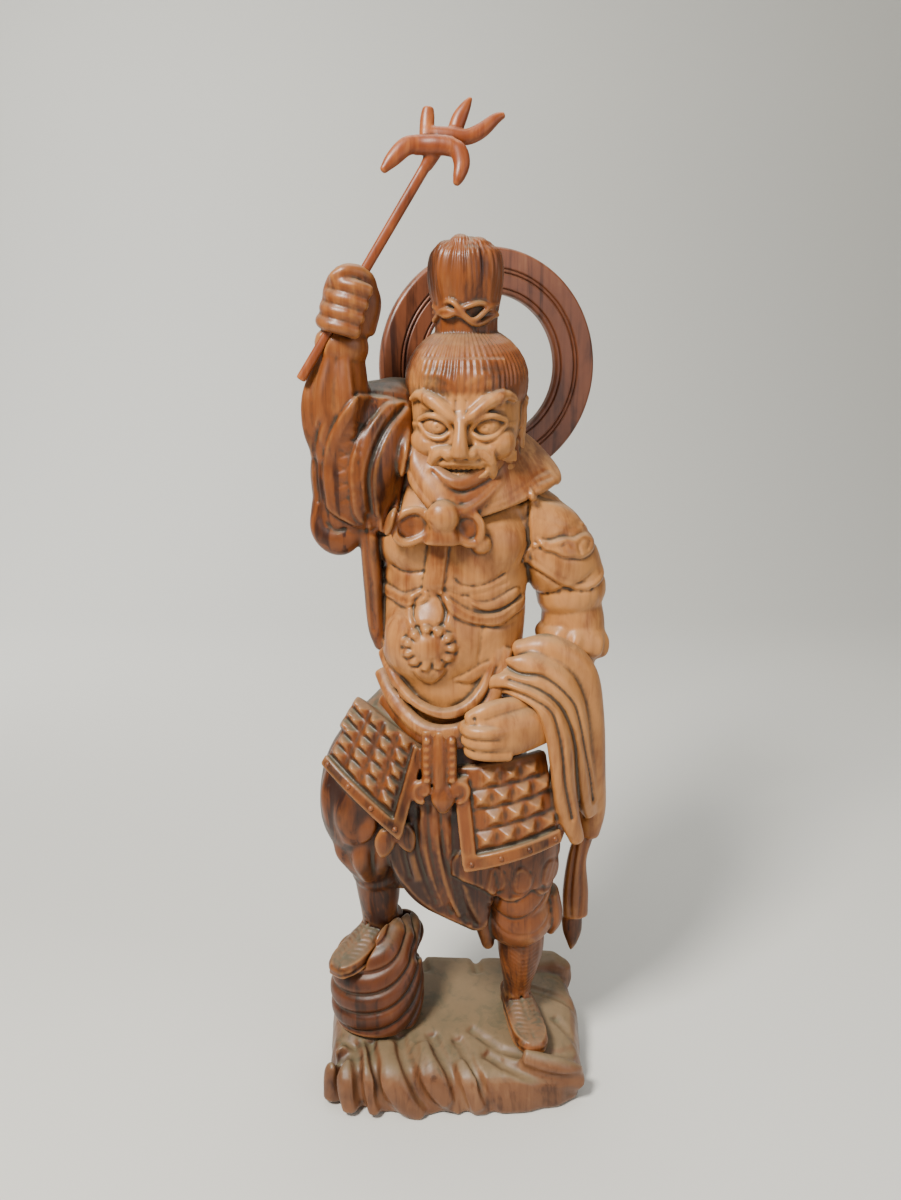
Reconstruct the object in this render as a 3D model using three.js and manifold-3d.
// A carved wooden guardian general (a lokapala) on his rock, about 82 cm tall.
// Five solids: figure, halo, staff, boulder and plinth. Millimetres, +Z up, the front looks along -Y.
// The origin is at the middle of the plinth's underside.
import * as THREE from "three";
import { mergeVertices } from "three/addons/utils/BufferGeometryUtils.js";
import Module from "manifold-3d";

const wasm = await Module();
wasm.setup();

// Driving dimensions.
const FIGURE_HEIGHT = 690; // sole of the standing foot to the top of the topknot
const PLINTH_HEIGHT = 46; // underside to the sole of the standing foot
const PLINTH_WIDTH = 232;
const PLINTH_DEPTH = 160;
const BOULDER_WIDTH = 80;
const BOULDER_DEPTH = 74;
const HALO_RADIUS = 99;
const HALO_BAND = 38;
const HALO_THICKNESS = 11;
const HALO_GROOVE = 2.4;
const STAFF_THICKNESS = 7.6;
const STAFF_LENGTH = 184; // butt to the root of the prongs
const GAP = 0.3; // clearance between separate pieces

// The figure's free form is drawn 690 units tall with its sole at 46, and scaled from the sole.
const DRAWN_HEIGHT = 690;
const DRAWN_SOLE = 46;
const UNIT = FIGURE_HEIGHT / DRAWN_HEIGHT;
const toPart = new THREE.Matrix4()
  .makeTranslation(0, 0, PLINTH_HEIGHT)
  .scale(new THREE.Vector3(UNIT, UNIT, UNIT))
  .multiply(new THREE.Matrix4().makeTranslation(0, 0, -DRAWN_SOLE));

const FRONT = new THREE.Vector3(0, -1, 0);
const UP = new THREE.Vector3(0, 0, 1);
const RAD = Math.PI / 180;

// A placement: turn by degrees about x, then y, then z, and move.
function placing([x, y, z], [ax, ay, az] = [0, 0, 0]) {
  const turn = new THREE.Euler(ax * RAD, ay * RAD, az * RAD, "ZYX");
  return new THREE.Matrix4().makeRotationFromEuler(turn).setPosition(x, y, z);
}

// A smooth value between list entries, at a position counted in entries.
function smooth(list, position) {
  const last = list.length - 1;
  const i = Math.min(Math.floor(position), last - 1);
  const f = position - i;
  const [p0, p1, p2, p3] = [-1, 0, 1, 2].map((d) => list[Math.max(0, Math.min(last, i + d))]);
  const bend = (2 * p0 - 5 * p1 + 4 * p2 - p3) * f * f + (3 * p1 - p0 - 3 * p2 + p3) * f * f * f;
  return Math.max(0.05, 0.5 * (2 * p1 + (p2 - p0) * f + bend));
}

// A cylinder bent along stations [x, y, z, half width, half depth]. Half depth lies towards "front".
function limb(stations, options = {}) {
  const { sides = 5, steps = 1, front = FRONT, round = 0, box = 0, wave } = options;
  const curve = new THREE.CatmullRomCurve3(stations.map(([x, y, z]) => new THREE.Vector3(x, y, z)));
  const spans = stations.length - 1;
  const rings = [];
  for (let i = 0; i <= spans * steps; i++) {
    const along = i / steps / spans;
    const tangent = curve.getTangent(along);
    const deep = front.clone().addScaledVector(tangent, -front.dot(tangent)).normalize();
    const wide = deep.clone().cross(tangent);
    const a = smooth(stations.map((s) => s[3]), i / steps);
    const b = smooth(stations.map((s) => s[4]), i / steps);
    rings.push({ c: curve.getPoint(along), tangent, deep, wide, a, b, along });
  }
  if (round > 0) {
    const cap = (ring, way) => ({
      ...ring,
      c: ring.c.clone().addScaledVector(ring.tangent, way * round * Math.min(ring.a, ring.b)),
      a: ring.a * 0.55,
      b: ring.b * 0.55,
    });
    rings.unshift(cap(rings[0], -1));
    rings.push(cap(rings[rings.length - 1], 1));
  }
  const geometry = new THREE.CylinderGeometry(1, 1, 1, sides, rings.length - 1);
  const position = geometry.attributes.position;
  const bulge = (value) => Math.sign(value) * Math.abs(value) ** (1 - box / 2);
  for (let i = 0; i < position.count; i++) {
    const [x, y, z] = [position.getX(i), position.getY(i), position.getZ(i)];
    const ring = rings[Math.round((0.5 - y) * (rings.length - 1))];
    const swell = wave ? wave(Math.atan2(x, z), ring.along) : 1;
    const point = ring.c.clone();
    point.addScaledVector(ring.wide, ring.a * swell * bulge(x));
    point.addScaledVector(ring.deep, ring.b * swell * bulge(z));
    position.setXYZ(i, point.x, point.y, point.z);
  }
  return geometry;
}

// A round cord of one radius through points.
const cord = (points, radius, options = {}) =>
  limb(points.map((p) => [...p, radius, radius]), { sides: 4, ...options });

// A flat band through points: half width across, half thickness towards "front".
const band = (points, width, thick, options = {}) =>
  limb(points.map((p) => [...p, width, thick]), { sides: 5, ...options });

// A rounded lump: centre, radii, turn about x, y and z in degrees. Small lumps have 20 facets, large ones 80.
const SMALL_LUMP = 13;
const lump = (centre, radii, turn = [0, 0, 0]) =>
  new THREE.IcosahedronGeometry(1, Math.min(...radii) > SMALL_LUMP ? 1 : 0)
    .scale(...radii)
    .applyMatrix4(placing(centre, turn));

// A patch between four corners, bottom left first, that bulges outwards as armour does over a thigh.
function patch(corners, bulge) {
  const [a, b, c, d] = corners.map((p) => new THREE.Vector3(...p));
  const out = b.clone().sub(a).cross(d.clone().sub(a)).normalize();
  return (u, v) => {
    const low = a.clone().lerp(b, u);
    const high = d.clone().lerp(c, u);
    return low.lerp(high, v).addScaledVector(out, bulge * (1 - (2 * u - 1) ** 2));
  };
}

function normalOf(surface, u, v) {
  const step = 0.02;
  const du = surface(u + step, v).sub(surface(u - step, v));
  const dv = surface(u, v + step).sub(surface(u, v - step));
  return du.cross(dv).normalize();
}

// A plate over part of a surface, from u0, v0 to u1, v1, reaching from "under" to "over" along its normal.
function plate(surface, [u0, v0, u1, v1], [under, over], [nu, nv]) {
  const geometry = new THREE.BoxGeometry(1, 1, 1, nu, nv, 1);
  const position = geometry.attributes.position;
  for (let i = 0; i < position.count; i++) {
    const u = u0 + (u1 - u0) * (position.getX(i) + 0.5);
    const v = v0 + (v1 - v0) * (position.getY(i) + 0.5);
    const lift = under + (over - under) * (position.getZ(i) + 0.5);
    const point = surface(u, v).addScaledVector(normalOf(surface, u, v), lift);
    position.setXYZ(i, point.x, point.y, point.z);
  }
  return geometry;
}

// A four-sided stud on a surface, with its corners half a cell away along u and v.
function stud(surface, u, v, [halfU, halfV], rise) {
  const normal = normalOf(surface, u, v);
  const centre = surface(u, v);
  const geometry = new THREE.ConeGeometry(1, 1, 4, 1);
  const position = geometry.attributes.position;
  const alongU = surface(u + halfU, v).sub(surface(u - halfU, v)).multiplyScalar(0.5);
  const alongV = surface(u, v + halfV).sub(surface(u, v - halfV)).multiplyScalar(0.5);
  for (let i = 0; i < position.count; i++) {
    const point = centre.clone();
    point.addScaledVector(alongU, position.getX(i));
    point.addScaledVector(alongV, -position.getZ(i));
    point.addScaledVector(normal, (position.getY(i) + 0.5) * (rise + 2) - 2);
    position.setXYZ(i, point.x, point.y, point.z);
  }
  return geometry;
}

function solid(geometry) {
  const bare = new THREE.BufferGeometry();
  bare.setAttribute("position", geometry.attributes.position.clone());
  bare.setIndex(geometry.index);
  const merged = mergeVertices(bare, 1e-4);
  const kept = [];
  for (let i = 0; i < merged.index.count; i += 3) {
    const [a, b, c] = [0, 1, 2].map((k) => merged.index.getX(i + k));
    if (a !== b && b !== c && c !== a) kept.push(a, b, c);
  }
  const made = new wasm.Manifold(
    new wasm.Mesh({
      numProp: 3,
      vertProperties: merged.attributes.position.array,
      triVerts: new Uint32Array(kept),
    }),
  );
  return made;
}

// The outermost shell: closed pockets between overlapping forms are left out, so they are filled.
const largest = (made) => made.decompose().reduce((most, shell) => (shell.volume() > most.volume() ? shell : most));

// The geometries, drawn in figure units, as one solid in the part's frame, without needlessly fine facets.
const FACET_TOLERANCE = 1.0;
function join(geometries, matrix = toPart) {
  const solids = geometries.map((g) => solid(g.clone().applyMatrix4(matrix)));
  const whole = solids.reduce((sum, next) => sum.add(next));
  return largest(whole.asOriginal().simplify(FACET_TOLERANCE));
}

function meshOf(name, made, material) {
  const { vertProperties, triVerts, numProp } = largest(made.asOriginal().simplify(GAP / 10)).getMesh();
  const count = vertProperties.length / numProp;
  const points = new Float32Array(count * 3);
  for (let i = 0; i < count; i++) {
    points.set(vertProperties.subarray(i * numProp, i * numProp + 3), i * 3);
  }
  const geometry = new THREE.BufferGeometry();
  geometry.setAttribute("position", new THREE.BufferAttribute(points, 3));
  geometry.setIndex(new THREE.BufferAttribute(new Uint32Array(triVerts), 1));
  geometry.computeVertexNormals();
  const mesh = new THREE.Mesh(geometry, material);
  mesh.name = name;
  return mesh;
}

// The trunk: cuirass with its swelling chest and belly, down to the hips.
function trunk() {
  const core = [
    [-6, 4, 318, 54, 38],
    [-6, 2, 350, 54, 42],
    [-3, -1, 410, 59, 45],
    [0, 1, 470, 60, 44],
    [2, 5, 520, 62, 42],
    [6, 8, 572, 36, 30],
  ];
  return [
    limb(core, { sides: 12, box: 0.15 }),
    lump([23, -21, 490], [35, 26, 34]),
    lump([-33, -19, 490], [27, 24, 31]),
    lump([-13, -18, 416], [50, 38, 45], [0, 0, 20]),
  ];
}

// Cords and straps that cross the cuirass, the oval boss, and the flower on the belly.
function cuirassTrim() {
  const forms = [
    band([[-12, -46, 504], [-16, -48, 478], [-21, -52, 450]], 8, 5, { sides: 4, box: 0.9 }),
    band([[-60, -6, 446], [-48, -36, 438], [-26, -51, 449]], 6, 6),
    band([[-16, -50, 449], [8, -52, 428], [40, -42, 420], [60, -8, 440]], 6, 6),
    cord([[10, -46, 446], [30, -46, 434], [58, -10, 452]], 5),
    cord([[-2, -38, 464], [22, -44, 455], [54, -24, 470]], 4.5),
    lump([-19, -54, 435], [11, 7, 14]),
    cord([[30, -44, 416], [31, -44, 398], [29, -38, 380]], 4),
  ];
  const petals = 7;
  for (let i = 0; i < petals; i++) {
    const angle = (i / petals) * 360 + 10;
    const [dx, dz] = [Math.cos(angle * RAD), Math.sin(angle * RAD)];
    forms.push(lump([-21 + 16 * dx, -52 + 6 * dx * dx, 407 + 13 * dz], [11, 6, 7], [0, -angle, 0]));
  }
  forms.push(lump([-21, -57, 406], [13, 6, 11]));
  return forms;
}

// Two sash bands that hang in a curve below the belly.
function sashes() {
  const across = { sides: 5 };
  return [
    band([[-58, -14, 390], [-44, -38, 370], [-14, -50, 357], [18, -48, 364], [44, -26, 400]], 6, 6, across),
    band([[-56, -16, 372], [-42, -38, 350], [-14, -49, 341], [20, -47, 348], [48, -26, 384]], 6, 6, across),
  ];
}

// The neck cloth: a roll round the neck, two lapels and the shoulder cape over the left arm.
function collar() {
  return [
    limb([[-34, 20, 590, 12, 9], [-40, 0, 580, 14, 9], [-30, -26, 552, 13, 9], [-10, -46, 524, 9, 8]]),
    limb([[44, 30, 580, 13, 9], [47, 2, 566, 14, 9], [32, -28, 542, 13, 9], [4, -46, 523, 8, 8]]),
    limb([[-36, 18, 586, 9, 9], [4, 34, 590, 12, 9], [44, 26, 576, 12, 9]], { front: UP }),
    limb([[28, 6, 552, 22, 12], [54, -2, 543, 20, 11], [80, -2, 530, 7, 7]], { round: 0.4 }),
    limb([[78, -6, 532, 6, 6], [46, -32, 522, 11, 7], [14, -44, 517, 9, 8]], { round: 0.4 }),
    limb([[-26, -20, 540, 14, 8], [5, -36, 532, 15, 9], [32, -20, 538, 14, 8]]),
  ];
}

// The knot on the chest with two loops, its short tassel and the round bead.
function knot() {
  const loop = (way) => {
    const ring = new THREE.TorusGeometry(12, 4.5, 4, 8);
    return ring.scale(1.25, 1, 0.95).applyMatrix4(placing([-11 + 23 * way, -51.3, 512], [-90, 14 * way, 4]));
  };
  return [
    lump([-10.5, -56, 518], [13, 10, 12.5], [0, 30, 0]),
    loop(-1),
    loop(1),
    limb([[-10, -53, 508, 8, 6], [-11, -53, 494, 11, 7]], { sides: 6, box: 0.5 }),
    lump([20, -47, 495], [8, 7, 8]),
  ];
}

// The head in its own frame: the middle between the ears at eye level is the origin.
function head() {
  const cap = [
    [0, 5, 24, 48, 46],
    [0, 4, 42, 50, 47],
    [0, 2, 62, 43, 40],
    [0, 2, 75, 22, 21],
  ];
  const flute = (angle) => 1 + 0.08 * Math.cos(7 * angle);
  const topknot = [
    [0, 2, 70, 18, 16],
    [0, 2, 82, 21, 19],
    [0, 0, 103, 27, 24],
    [1, -1, 125, 24, 18],
  ];
  const forms = [
    limb([[0, 0, 30, 45, 46], [0, -4, 4, 45, 48], [0, -9, -26, 38, 42], [0, -17, -48, 23, 28]], {
      sides: 12,
      round: 0.4,
      box: 0.2,
    }),
    limb([[0, 22, 30, 40, 26], [0, 26, -20, 34, 22]], { sides: 6, round: 0.4 }),
    limb(cap, { sides: 14 }),
    limb(topknot, { sides: 14, wave: flute }),
    lump([-14, -2, 124], [9, 12, 14], [0, -14, 0]),
    lump([3, -3, 127], [10, 13, 15], [0, 40, 0]),
    lump([18, 0, 121], [9, 11, 13], [0, 12, 0]),
    cord([[-21, -8, 82], [0, -21, 77], [21, -8, 82]], 4),
  ];
  for (const side of [-1, 1]) forms.push(...ear(side), ...brow(side), ...cheek(side));
  forms.push(...noseAndMouth());
  return forms;
}

const ear = (side) => [
  limb([[side * 47, -2, 10, 4, 8], [side * 48, 4, -2, 4, 8], [side * 45, 0, -26, 3, 5]], { sides: 6, round: 0.8 }),
];

// A knitted brow over a bulging eye between two lids.
function brow(side) {
  const ridge = [[side * 3, -48, 5, 5, 6], [side * 16, -46, 13, 6, 6], [side * 38, -32, 17, 4, 5]];
  return [
    limb(ridge, { sides: 5 }),
    lump([side * 19, -43, -1], [9, 9, 6.5]),
    cord([[side * 7, -46, -3], [side * 19, -48, 6], [side * 33, -38, 1]], 2.6),
  ];
}

const cheek = (side) => [
  lump([side * 25, -37, -16], [14, 12, 10], [0, 25, 0]),
  cord([[side * 8, -50, -20], [side * 20, -47, -27], [side * 23, -40, -40]], 3.4),
];

function noseAndMouth() {
  const lip = (height, drop) =>
    cord([[-18, -40, height + drop], [0, -52, height], [18, -40, height + drop]], 3.4);
  return [
    limb([[0, -46, 6, 5, 5], [0, -56, -16, 9, 8]], { sides: 6, round: 0.4 }),
    lump([0, -45, -33], [15, 6, 4.5]),
    lip(-28, 2),
    lip(-39, 5),
    lump([0, -43, -51], [13, 10, 8]),
  ];
}

// The head bows a little and turns to the raised arm's side.
const HEAD = placing([8, 0, 594], [6, 0, -6]);

// The raised right arm: forearm in a tight sleeve with two folds, and the wrist band.
function raisedArm() {
  return [
    limb([[-30, 8, 556, 34, 32], [-66, 0, 556, 30, 30], [-92, -14, 570, 22, 24]], { sides: 8, round: 0.5 }),
    limb([[-91, -18, 566, 22, 22], [-92, -24, 600, 24, 22], [-90, -28, 628, 20, 20], [-88, -31, 650, 16, 16]], {
      sides: 8,
    }),
    limb([[-88, -32, 648, 19, 18], [-87, -33, 656, 19, 18]], { sides: 8, round: 0.2 }),
    cord([[-106, -36, 640], [-113, -38, 600], [-100, -36, 572]], 5),
    cord([[-84, -42, 642], [-86, -46, 604], [-96, -40, 566]], 5),
  ];
}

// The fist round the staff: palm, thumb side, and four fingers stacked along the shaft.
function raisedFist() {
  const forms = [
    lump([-83, -38, 680], [20, 16, 24], [0, 20, 0]),
    limb([[-98, -38, 690, 7, 9], [-86, -44, 702, 9, 10], [-68, -42, 703, 7, 8]], { round: 0.6 }),
    limb([[-70, -30, 666, 9, 12], [-63, -36, 690, 8, 11], [-68, -40, 703, 6, 8]], { round: 0.4 }),
  ];
  const fingers = 4;
  for (let i = 0; i < fingers; i++) {
    const [x, z] = [-98 + 3 * i, 664 + 9 * i];
    forms.push(cord([[x - 4, -34, z + 7], [x + 4, -54, z + 2], [x + 22, -52, z + 1], [x + 26, -36, z]], 5));
  }
  return forms;
}

// The wide sleeve of the raised arm: its rim, folds, scalloped border and the long end that hangs behind.
function raisedSleeve() {
  const forms = [
    limb([[-58, 4, 582, 34, 26], [-74, -5, 556, 36, 30], [-84, -9, 520, 28, 26], [-86, -10, 498, 19, 19]], {
      sides: 9,
      round: 0.5,
    }),
    cord([[-107, -22, 582], [-112, -24, 548], [-108, -26, 514], [-97, -29, 512], [-94, -36, 552]], 5.5),
    limb([[-88, -38, 574, 7, 7], [-92, -41, 545, 9, 8], [-91, -34, 512, 8, 8]], { round: 0.5 }),
    band([[-54, -22, 602], [-73, -35, 580], [-81, -40, 548], [-72, -34, 514]], 8, 6),
    band([[-44, -20, 598], [-62, -32, 572], [-67, -36, 545], [-64, -32, 516]], 6, 7),
    limb([[-68, 0, 600, 15, 15], [-44, 6, 600, 18, 17], [-28, 10, 582, 18, 18]], { front: UP, round: 0.5 }),
    limb([[-40, -16, 586, 8, 9], [-61, -19, 556, 8, 9], [-67, -14, 510, 8, 10], [-68, -2, 450, 8, 10], [-63, 4, 408, 7, 8]], {
      round: 0.6,
    }),
    limb([[-46, 12, 560, 20, 14], [-54, 16, 490, 18, 12], [-57, 10, 406, 8, 9]], { round: 0.4 }),
  ];
  const notches = 5;
  for (let i = 0; i < notches; i++) {
    const t = (i + 0.6) / notches;
    forms.push(lump([-62 - 19 * Math.sin(t * 2.2), -33 - 6 * Math.sin(t * 3), 596 - 72 * t], [5, 8, 5]));
  }
  return forms;
}

// The lowered left arm: cap, lames, the cloud boss, the arm ring, the frilled sleeve and the forearm.
function loweredArm() {
  const frill = (angle, along) => 1 + 0.09 * along * (1 - along) * 4 * Math.cos(6 * angle);
  return [
    limb([[50, 6, 522, 24, 30], [76, 6, 500, 27, 30], [94, 8, 468, 27, 27], [99, 9, 404, 25, 24]], { sides: 8 }),
    limb([[56, 2, 526, 15, 28], [80, 2, 514, 15, 28], [98, 4, 500, 8, 20]], { sides: 8, round: 0.3 }),
    limb([[70, 2, 490, 26, 32], [80, 4, 477, 29, 33], [91, 6, 462, 30, 31]], { sides: 9, round: 0.15 }),
    limb([[94, 8, 457, 29, 28], [97, 8, 438, 28, 26]], { sides: 9, round: 0.15 }),
    limb([[98, 9, 424, 26, 25], [99, 9, 405, 29, 28], [98, 8, 394, 25, 24]], { sides: 12, wave: frill }),
    lump([98, -15, 492], [17, 14, 14], [0, 20, 0]),
    lump([82, -24, 482], [10, 9, 8]),
    lump([98, -22, 474], [9, 8, 7]),
    limb([[97, 8, 402, 21, 21], [93, -6, 378, 21, 20], [76, -26, 350, 19, 18], [52, -42, 338, 17, 16]], { sides: 8 }),
  ];
}

// The left fist closed on the hip.
function loweredFist() {
  const forms = [
    lump([41, -50, 338], [25, 20, 22]),
    limb([[58, -50, 356, 7, 9], [40, -64, 357, 8, 8], [22, -62, 350, 7, 7]], { round: 0.5 }),
  ];
  const fingers = 4;
  for (let i = 0; i < fingers; i++) {
    const z = 349 - 8.5 * i;
    forms.push(cord([[18, -44, z], [18, -66, z - 1], [44, -64, z - 3]], 6));
  }
  return forms;
}

// The scarf over the left forearm: three folds, the outer fall and its pointed end.
function scarf() {
  const side = { front: new THREE.Vector3(0.7, -0.7, 0) };
  return [
    limb([[36, -38, 384, 9, 6], [66, -50, 382, 13, 7], [88, -48, 340, 14, 8], [92, -40, 286, 13, 7], [100, -32, 250, 5, 5]], {
      ...side,
      round: 0.6,
    }),
    limb([[46, -38, 398, 8, 6], [78, -44, 396, 11, 8], [100, -32, 350, 13, 9], [112, -18, 286, 14, 9], [116, 2, 240, 12, 8]], side),
    limb([[56, -30, 406, 8, 8], [92, -24, 398, 12, 13], [104, -10, 345, 12, 15], [113, 2, 286, 10, 12], [111, 8, 238, 9, 9]], side),
    limb([[116, 6, 246, 10, 8], [108, 12, 200, 10, 7], [108, 15, 150, 14, 7], [108, 20, 106, 4, 4]], { round: 0.6 }),
    limb([[98, -26, 336, 14, 12], [94, -6, 280, 17, 14], [86, 14, 216, 10, 10]]),
  ];
}

// A thigh guard: border rails and rows of pyramid studs on a bulging ground.
function tasset(corners, bulge, columns, rows, rails) {
  const ground = patch(corners, bulge);
  const forms = [plate(ground, [0, 0, 1, 1], [-9, 0], [4, 1])];
  for (const rail of rails) {
    const spans = rail[2] - rail[0] > 0.5 ? 3 : 1;
    forms.push(plate(ground, rail, [-2, 5], [spans, 1]));
  }
  for (let row = 0; row < rows; row++) {
    const shift = row % 2 ? 0.5 : 0;
    for (let i = 0; i < columns - 2 * shift; i++) {
      const u = 0.05 + (0.84 * (i + 0.5 + shift)) / columns;
      const v = 0.22 + (0.72 * (row + 0.5)) / rows;
      forms.push(stud(ground, u, v, [0.42 / columns, 0.71 / rows], 8));
    }
  }
  return forms;
}

function tassets() {
  const right = [[-112, -36, 309], [-48, -64, 254], [-27, -50, 330], [-80, -22, 362]];
  const left = [[7, -60, 224], [86, -44, 243], [74, -38, 322], [-2, -52, 312]];
  return [
    ...tasset(right, 8, 4, 7, [[0, 0, 1, 0.16], [0.9, 0.1, 1.01, 0.95]]),
    ...tasset(left, 10, 4, 7, [[0, 0, 1, 0.16], [-0.01, 0.1, 0.11, 0.85]]),
  ];
}

// The girdle ends between the thigh guards: two cords, a tongue and a scrolled cloud.
function girdleEnds() {
  return [
    band([[-18, -52, 342], [-20, -57, 318], [-20, -57, 296]], 5, 5, { sides: 4 }),
    band([[-1, -50, 342], [-2, -55, 318], [-2, -55, 294]], 5, 5, { sides: 4 }),
    lump([-21, -58, 289], [10, 7, 8]),
    lump([4, -57, 289], [10, 7, 8]),
    lump([-9, -59, 283], [10, 7, 10]),
  ];
}

// The robe: a pleated bell from the hips, and the long front fall whose hem drops to one side.
function robe() {
  const pleat = (angle, along) => 1 + 0.05 * along * Math.cos(10 * angle);
  const bell = [
    [-8, 4, 346, 56, 42],
    [-4, 6, 296, 66, 48],
    [2, 9, 230, 72, 50],
    [10, 12, 184, 68, 46],
  ];
  return [
    limb(bell, { sides: 20, wave: pleat }),
    limb([[-18, -34, 262, 46, 16], [-8, -38, 222, 42, 14], [8, -38, 186, 30, 11], [21, -34, 157, 9, 6]], {
      sides: 8,
      round: 0.4,
    }),
    cord([[-30, -48, 262], [-24, -51, 226], [-14, -48, 200]], 6),
    cord([[-12, -50, 270], [-6, -53, 226], [6, -48, 180]], 6),
    cord([[6, -52, 246], [11, -51, 210], [20, -42, 166]], 6),
  ];
}

// The raised right leg: puffed breeches with two folds, the cuff and the calf.
function raisedLeg() {
  return [
    limb([[-36, 0, 336, 40, 40], [-70, -12, 298, 42, 42], [-84, -15, 254, 34, 36], [-74, -5, 216, 27, 30], [-71, 0, 192, 23, 25]], {
      sides: 10,
      round: 0.3,
    }),
    limb([[-92, -36, 286, 18, 12], [-93, -38, 252, 17, 14], [-82, -32, 222, 12, 9]], { round: 0.5 }),
    limb([[-58, -40, 264, 16, 12], [-62, -41, 232, 15, 12], [-66, -28, 206, 11, 8]], { round: 0.5 }),
    limb([[-71, 1, 200, 20, 22], [-70, 4, 168, 17, 19], [-70, 4, 130, 13, 16]], { sides: 8 }),
  ];
}

// The standing left leg: two scalloped layers of cloth, the puffed knee, the cuff and the calf.
function standingLeg() {
  const scallop = (angle, along) => 1 + 0.05 * along * Math.cos(7 * angle);
  return [
    limb([[46, -4, 250, 42, 42], [52, -4, 178, 38, 40]], { sides: 14, round: 0.2, wave: scallop }),
    limb([[52, -4, 186, 33, 34], [55, -4, 158, 32, 34]], { sides: 14, round: 0.2, wave: scallop }),
    lump([58, -10, 150], [28, 30, 17]),
    limb([[59, -4, 142, 24, 26], [59, -4, 108, 22, 24]], { sides: 9, round: 0.25 }),
    limb([[59, -2, 118, 20, 22], [58, 0, 92, 17, 20], [57, 1, 72, 12, 15], [57, 1, 56, 13, 17]], { sides: 8 }),
  ];
}

// A boot's foot in its own frame: ankle at the origin, sole at -10, toe towards -Y.
const SOLE_DROP = -12;
const FOOT_HALF_WIDTH = 16;
const FOOT_LENGTH = 93;
function foot() {
  const instep = [
    [0, 20, 0, 11, 10],
    [0, 8, 3, 13, 14],
    [0, -16, -1, 14, 10],
    [0, -38, -5, 15, 6],
    [0, -56, -7, 13, 4.5],
  ];
  return [
    limb(instep, { sides: 8, front: UP, round: 0.5 }),
    new THREE.ExtrudeGeometry(soleShape(), { depth: 4, bevelEnabled: false }).translate(0, 0, SOLE_DROP),
  ];
}

function soleShape() {
  const half = FOOT_HALF_WIDTH;
  const shape = new THREE.Shape();
  const right = [[0, -64], [10, -60], [half, -44], [half, -24], [half - 2, -2], [half - 2, 16], [8, 29]];
  const points = [...right, ...right.slice(1).reverse().map(([x, y]) => [-x, y])];
  shape.setFromPoints(points.map(([x, y]) => new THREE.Vector2(x, y)));
  return shape;
}

const RAISED_FOOT = placing([-70, 4, 133], [9, 0, -37]);
const STANDING_FOOT = placing([57, 1, DRAWN_SOLE - SOLE_DROP], [0, 0, 12]);

// A foot as the hollow that receives it, larger all round by the gap.
function footprint(place) {
  const grow = new THREE.Matrix4().makeScale(
    1 + GAP / UNIT / (FOOT_HALF_WIDTH - 3),
    1 + (2 * GAP) / UNIT / FOOT_LENGTH,
    1 + GAP / UNIT / -SOLE_DROP,
  );
  const room = new THREE.ExtrudeGeometry(soleShape(), { depth: 60, bevelEnabled: false }).translate(0, 0, SOLE_DROP);
  const ankle = limb([[0, 3, SOLE_DROP / 2, 18, 20], [0, 3, 48, 18, 20]], { sides: 10 });
  return join([room.applyMatrix4(grow), ankle], toPart.clone().multiply(place));
}

// The halo stands behind the head, turned a little, against a block on the upper back.
const HALO_PLACE = placing([29, 72, 632], [0, 0, 20]);
function haloBlock() {
  const depth = 34;
  const back = -HALO_THICKNESS / UNIT / 2 - GAP / UNIT;
  return new THREE.BoxGeometry(46, depth, 40).translate(-16, back - depth / 2, 22 - HALO_RADIUS / UNIT);
}

function halo() {
  const [outer, inner, half] = [HALO_RADIUS, HALO_RADIUS - HALO_BAND, HALO_THICKNESS / 2];
  const step = HALO_BAND / 10;
  const profile = [
    [outer, -half * 0.4],
    [outer - step, -half],
    [outer - 5 * step, -half],
    [outer - 5.5 * step, HALO_GROOVE - half],
    [outer - 6 * step, -half],
    [inner + 2 * step, -half],
    [inner + 1.4 * step, HALO_GROOVE - half],
    [inner, -half * 0.6],
    [inner, half * 0.5],
    [inner + step, half],
    [outer - step, half],
    [outer, half * 0.5],
    [outer, -half * 0.4],
  ];
  const ring = new THREE.LatheGeometry(profile.map(([x, y]) => new THREE.Vector2(x, y)).reverse(), 30);
  const place = toPart.clone().multiply(HALO_PLACE);
  const centre = new THREE.Vector3().setFromMatrixPosition(place);
  const turn = new THREE.Matrix4().extractRotation(HALO_PLACE).setPosition(centre);
  return solid(ring.applyMatrix4(turn));
}

// The staff: an eight-sided shaft and five flame-like prongs from a small hub.
const STAFF_BUTT = new THREE.Vector3(-118, -45, 624).applyMatrix4(toPart);
const STAFF_WAY = new THREE.Vector3(0.536, 0, 0.844).normalize();
function shaft(thickness, length) {
  const half = thickness / 2;
  const far = STAFF_BUTT.clone().addScaledVector(STAFF_WAY, length);
  const stations = [STAFF_BUTT, far].map((p) => [...p.toArray(), half, half]);
  return limb(stations, { sides: 8, round: 0.2 });
}

function prongs() {
  const hub = STAFF_BUTT.clone().addScaledVector(STAFF_WAY, STAFF_LENGTH);
  const prong = (stations) =>
    limb(stations.map(([x, y, z, a, b]) => [hub.x + x, hub.y + y, hub.z + z, a, b]), { sides: 6, round: 0.5 });
  return [
    prong([[9, 0, 3, 8, 5], [-7, -2, 5, 10, 5], [-24, -6, -3, 7, 4], [-40, -11, -16, 1.5, 1.5]]),
    prong([[2, 2, -2, 7, 5], [-3, 4, 14, 8, 5], [-4, 7, 34, 5, 4]]),
    prong([[10, 2, 2, 8, 6], [15, 3, 19, 9, 6], [29, 7, 43, 1.5, 1.5]]),
    prong([[2, 0, 0, 8, 6], [21, -2, 3, 9, 6], [40, -3, 14, 6, 5], [57, -3, 30, 1.5, 1.5]]),
    prong([[4, -3, 4, 8, 6], [22, -8, 3, 9, 6], [22, -14, -21, 2, 2]]),
  ];
}

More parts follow.
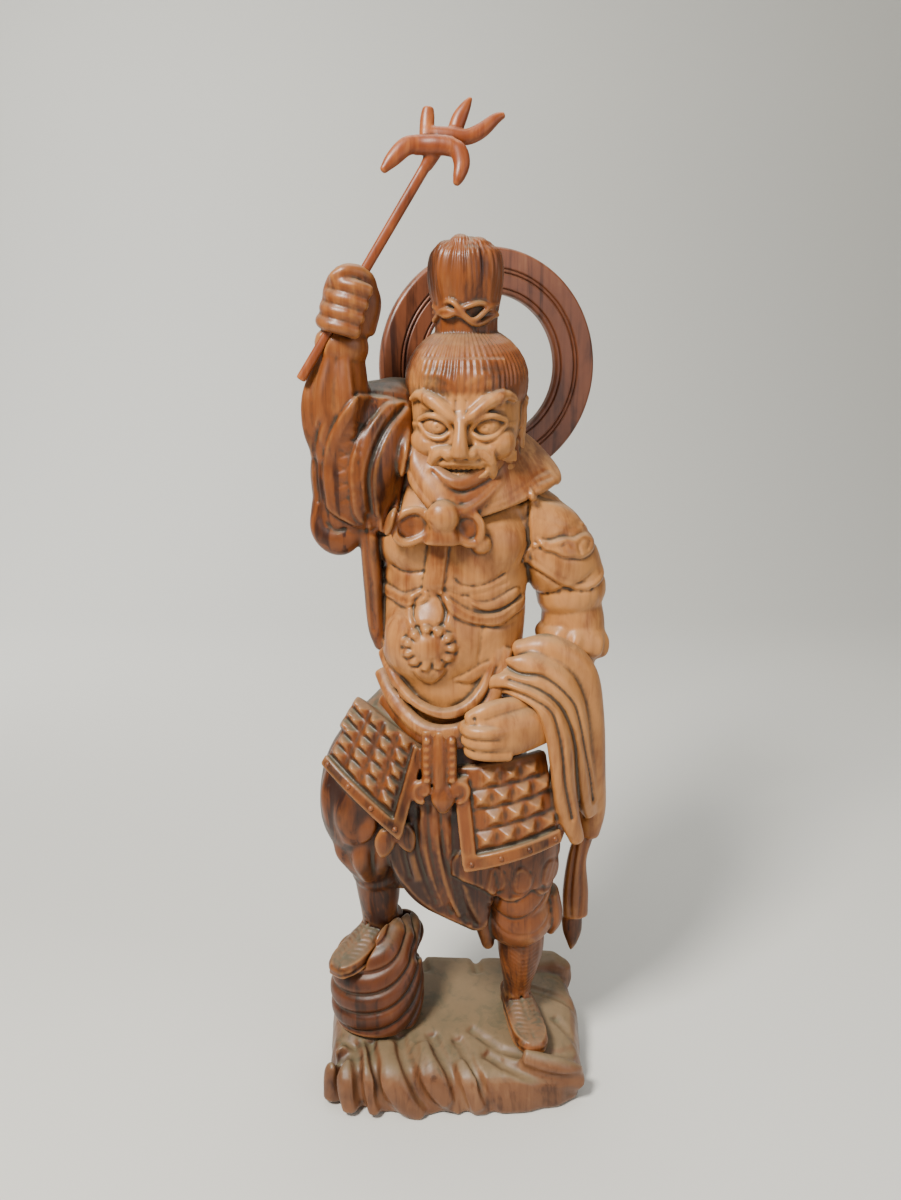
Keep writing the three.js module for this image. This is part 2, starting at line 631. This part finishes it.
// The boulder: lobes stacked like worn strata on a flat seat. "room" grows it all round.
const BOULDER_SEAT = 5; // above the sole of the standing foot
function boulder(room = 0) {
  const [w, d] = [BOULDER_WIDTH / 80, BOULDER_DEPTH / 74];
  const layers = [
    [[-70, -6, 62], [38, 36, 16]],
    [[-72, -8, 80], [40, 37, 15]],
    [[-72, -6, 98], [39, 36, 14]],
    [[-66, 0, 112], [36, 34, 16]],
    [[-54, 14, 120], [22, 20, 18]],
  ];
  const forms = layers.map(([centre, [rx, ry, rz]], i) =>
    lump(centre, [rx * w + room, ry * d + room, rz + room], [10, -8 + 3 * i, 20 * i]),
  );
  const seat = PLINTH_HEIGHT + BOULDER_SEAT - room;
  const below = solid(new THREE.BoxGeometry(300, 300, 100).translate(0, 0, seat - 50));
  return join(forms).subtract(below);
}

// Ridges that run down over the plinth's front left edge, and the lump at its back right corner.
function plinthRidges() {
  const [x, y, z] = [PLINTH_WIDTH / 2, PLINTH_DEPTH / 2, PLINTH_HEIGHT];
  const ridge = (along) => [
    [x * along, -0.74 * y, 0.92 * z, 8, 7],
    [x * (along - 0.1), -0.9 * y, 0.72 * z, 10, 8],
    [x * (along - 0.14), -0.97 * y, 0.24 * z, 9, 6],
  ];
  const ridges = [-0.6, -0.38, -0.12].map((along) => limb(ridge(along), { round: 0.4 }));
  return [...ridges, lump([0.84 * x, 0.76 * y, 0.95 * z], [22, 18, 17])];
}

// The plinth: a flat-bottomed rock whose folds run outwards and down to a scalloped edge.
function plinth() {
  const [halfWidth, halfDepth] = [PLINTH_WIDTH / 2, PLINTH_DEPTH / 2];
  const geometry = new THREE.CylinderGeometry(1, 1, 1, 40, 4);
  const position = geometry.attributes.position;
  const levels = [0, 0.12, 0.55, 0.9, 1];
  const spread = [0.965, 1, 0.985, 0.93, 0.8];
  for (let i = 0; i < position.count; i++) {
    const [x, y, z] = [position.getX(i), position.getY(i), position.getZ(i)];
    const level = Math.round((y + 0.5) * 4);
    const angle = Math.atan2(z, x);
    const [sx, sy] = [x, z].map((value) => Math.sign(value) * Math.abs(value) ** 0.55);
    const leftFront = Math.max(0, Math.cos(angle - 2.3));
    const fold = 1 + 0.035 * leftFront * Math.cos(16 * angle) + 0.012 * Math.cos(7 * angle);
    const reach = spread[level] * (x || z ? fold : 0);
    const [px, py] = [halfWidth * sx * reach, -halfDepth * sy * reach];
    const top = PLINTH_HEIGHT + 4 + (12 * py) / halfDepth - (4 * px) / halfWidth;
    position.setXYZ(i, px, py, levels[level] * top);
  }
  const rock = [geometry, ...plinthRidges()].map(solid).reduce((sum, next) => sum.add(next));
  return rock.subtract(footprint(STANDING_FOOT)).subtract(boulder(2 * GAP));
}

const wood = (color, roughness) => new THREE.MeshStandardMaterial({ color, roughness, metalness: 0 });

const figureForms = [
  ...trunk(),
  ...cuirassTrim(),
  ...sashes(),
  ...collar(),
  ...knot(),
  ...head().map((form) => form.applyMatrix4(HEAD)),
  ...raisedArm(),
  ...raisedFist(),
  ...raisedSleeve(),
  ...loweredArm(),
  ...loweredFist(),
  ...scarf(),
  ...robe(),
  ...tassets(),
  ...girdleEnds(),
  ...raisedLeg(),
  ...standingLeg(),
  ...foot().map((form) => form.applyMatrix4(RAISED_FOOT)),
  ...foot().map((form) => form.applyMatrix4(STANDING_FOOT)),
  haloBlock().applyMatrix4(HALO_PLACE),
];

const shaftRoom = solid(shaft(STAFF_THICKNESS + 2 * GAP, STAFF_LENGTH));
const figure = join(figureForms).subtract(shaftRoom);
const rock = boulder().subtract(footprint(RAISED_FOOT));
const staff = [shaft(STAFF_THICKNESS, STAFF_LENGTH), ...prongs()].map(solid).reduce((a, b) => a.add(b));

const part = new THREE.Group();
part.add(meshOf("figure", figure, wood(0x8a5a38, 0.55)));
part.add(meshOf("halo", halo(), wood(0x7c4c34, 0.5)));
part.add(meshOf("staff", staff, wood(0x8e4a2a, 0.45)));
part.add(meshOf("boulder", rock, wood(0x7a4a2c, 0.5)));
part.add(meshOf("plinth", plinth(), wood(0x7b6556, 0.65)));
export default part;
